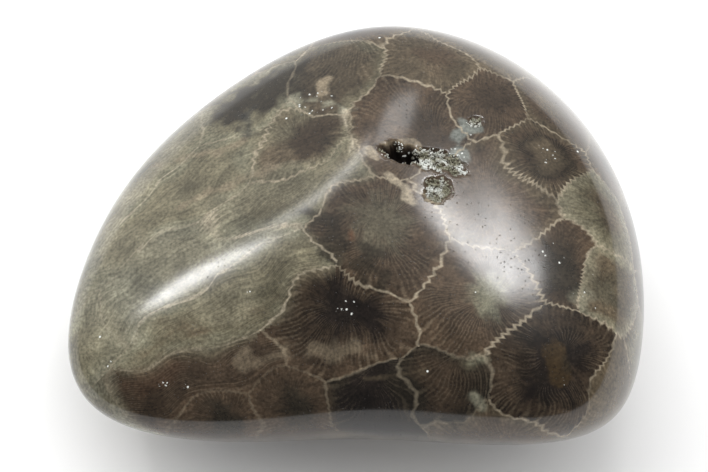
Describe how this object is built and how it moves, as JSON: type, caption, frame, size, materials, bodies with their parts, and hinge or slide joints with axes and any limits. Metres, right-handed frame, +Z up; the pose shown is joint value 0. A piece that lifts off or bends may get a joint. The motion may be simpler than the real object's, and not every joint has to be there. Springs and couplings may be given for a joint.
{
  "type": "polished fossil coral pebble",
  "caption": "Palm-sized pebble of colonial fossil coral, polished all over, with a small crystal-lined cavity; rests as a display or worry stone.",
  "frame": {"origin": "on the resting flat, below the middle of the stone's box", "axes": "+X along the length towards the blunt end, +Z up from the resting flat, +Y towards the high rounded back"},
  "size_m": [0.0744, 0.0632, 0.0348],
  "materials": {
    "coral_limestone": "high natural polish, brown-grey with pale polygon walls and dark cup centres",
    "calcite_crystals": "small sugary calcite crystals, pale and glassy"
  },
  "bodies": {
    "root": {"coral_stone": "coral_limestone"}
  },
  "joints": []
}
